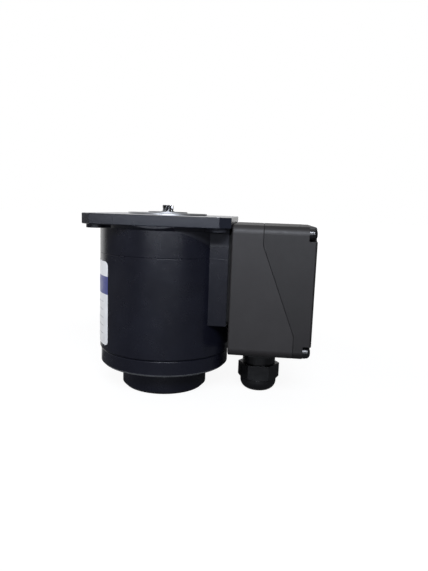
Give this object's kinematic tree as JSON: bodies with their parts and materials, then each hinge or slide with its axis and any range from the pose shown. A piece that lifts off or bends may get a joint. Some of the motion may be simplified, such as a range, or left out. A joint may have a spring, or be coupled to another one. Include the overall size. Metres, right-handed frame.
{
  "type": "gear motor, motor half with terminal box",
  "caption": "Small black induction gear motor's motor half: square bolt flange, helical pinion shaft, round body, side terminal box with slanted cover split and a cable gland.",
  "frame": {"origin": "centre of the flange's mounting face, on the shaft's axis", "axes": "+Z along the shaft toward the gearbox, +X toward the terminal box"},
  "size_m": [0.1407, 0.09, 0.1212],
  "materials": {
    "black_paint": "satin",
    "bright_steel": "satin",
    "dark_steel": "satin",
    "bearing_steel": "polished",
    "black_oxide_steel": "satin",
    "lamination_steel": "matte",
    "copper_wire": "satin",
    "slot_paper": "matte",
    "cast_aluminium": "satin",
    "label_film": "satin",
    "box_plastic": "matte",
    "gland_plastic": "satin",
    "block_plastic": "matte",
    "black_rubber": "matte",
    "brass_plating": "satin",
    "tinned_copper": "satin",
    "insulation_black": "satin",
    "insulation_red": "satin",
    "insulation_white": "satin",
    "insulation_grey": "satin"
  },
  "bodies": {
    "motor_body": {"front_bracket": "black_paint", "stator_housing": "black_paint", "rear_bracket": "black_paint", "rear_cap": "black_paint", "through_bolts": "black_oxide_steel", "front_bearing_outer": "bearing_steel", "front_bearing_shields": "bright_steel", "rear_bearing_outer": "bearing_steel", "rear_bearing_shields": "bright_steel", "wave_washer": "bright_steel", "shaft_seal": "black_rubber", "stator_core": "lamination_steel", "slot_insulation": "slot_paper", "stator_windings": "copper_wire", "rating_label": "label_film", "terminal_box_base": "box_plastic", "terminal_box_cover": "box_plastic", "cover_gasket": "black_rubber", "cover_screws": "black_oxide_steel", "cover_washers": "black_oxide_steel", "seat_gasket": "black_rubber", "box_screws": "bright_steel", "earth_screw": "brass_plating", "earth_washer": "brass_plating", "lead_grommet": "black_rubber", "lead_black": "insulation_black", "lead_red": "insulation_red", "lead_white": "insulation_white", "lead_grey": "insulation_grey", "lead_lugs": "tinned_copper", "terminal_block": "block_plastic", "terminal_plates": "brass_plating", "terminal_screws": "bright_steel", "block_screws": "bright_steel", "gland_body": "gland_plastic", "gland_sealing_ring": "black_rubber", "gland_locknut": "gland_plastic", "gland_seal": "black_rubber"},
    "rotor": {"pinion_shaft": "dark_steel", "rotor_core": "lamination_steel", "rotor_cage": "cast_aluminium", "front_bearing_inner": "bearing_steel", "rear_bearing_inner": "bearing_steel"},
    "front_balls": {"front_bearing_balls": "bearing_steel", "front_ball_cage": "bright_steel"},
    "rear_balls": {"rear_bearing_balls": "bearing_steel", "rear_ball_cage": "bright_steel"},
    "gland_cap": {"gland_nut": "gland_plastic"}
  },
  "joints": [
    {"name": "rotor_spin", "type": "hinge", "parent": "motor_body", "child": "rotor", "pos_m": [0, 0, 0], "axis": [0, 0, 1], "continuous": true},
    {"name": "front_balls_spin", "type": "hinge", "parent": "motor_body", "child": "front_balls", "pos_m": [0, 0, -0.015], "axis": [0, 0, 1], "continuous": true},
    {"name": "rear_balls_spin", "type": "hinge", "parent": "motor_body", "child": "rear_balls", "pos_m": [0, 0, -0.098], "axis": [0, 0, 1], "continuous": true},
    {"name": "gland_nut_turn", "type": "hinge", "parent": "motor_body", "child": "gland_cap", "pos_m": [0.06495, 0, -0.104], "axis": [0, 0, 1], "range_deg": [-360, 0]}
  ],
  "couplings": [
    {"joint": "front_balls_spin", "follows": "rotor_spin", "ratio": 0.37946},
    {"joint": "rear_balls_spin", "follows": "rotor_spin", "ratio": 0.37946}
  ]
}
